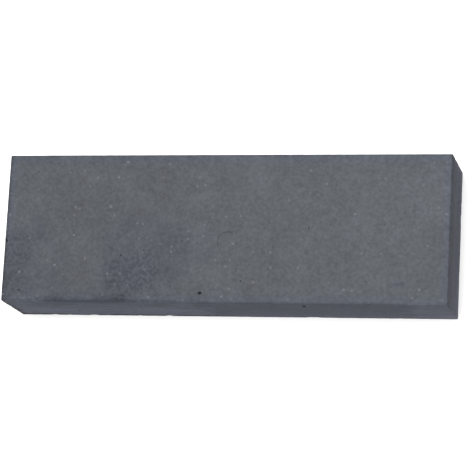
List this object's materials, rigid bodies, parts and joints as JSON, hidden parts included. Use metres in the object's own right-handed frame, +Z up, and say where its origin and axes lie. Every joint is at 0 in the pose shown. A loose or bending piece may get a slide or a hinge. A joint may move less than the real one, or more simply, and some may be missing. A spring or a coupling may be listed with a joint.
{
  "type": "sharpening whetstone",
  "caption": "Plain rectangular bench whetstone for honing carving knives and gouges, with flat working faces, eased edges and a front edge worn round near one end.",
  "frame": {"origin": "middle of the underside, the broad face that the stone rests on", "axes": "+X along the length, +Y across the width towards the back long side, +Z up through the working face"},
  "size_m": [0.15, 0.05, 0.025],
  "materials": {
    "abrasive_stone": "matt, dark blue-grey, fine grit with small bright grains"
  },
  "bodies": {
    "root": {"stone_block": "abrasive_stone"}
  },
  "joints": []
}
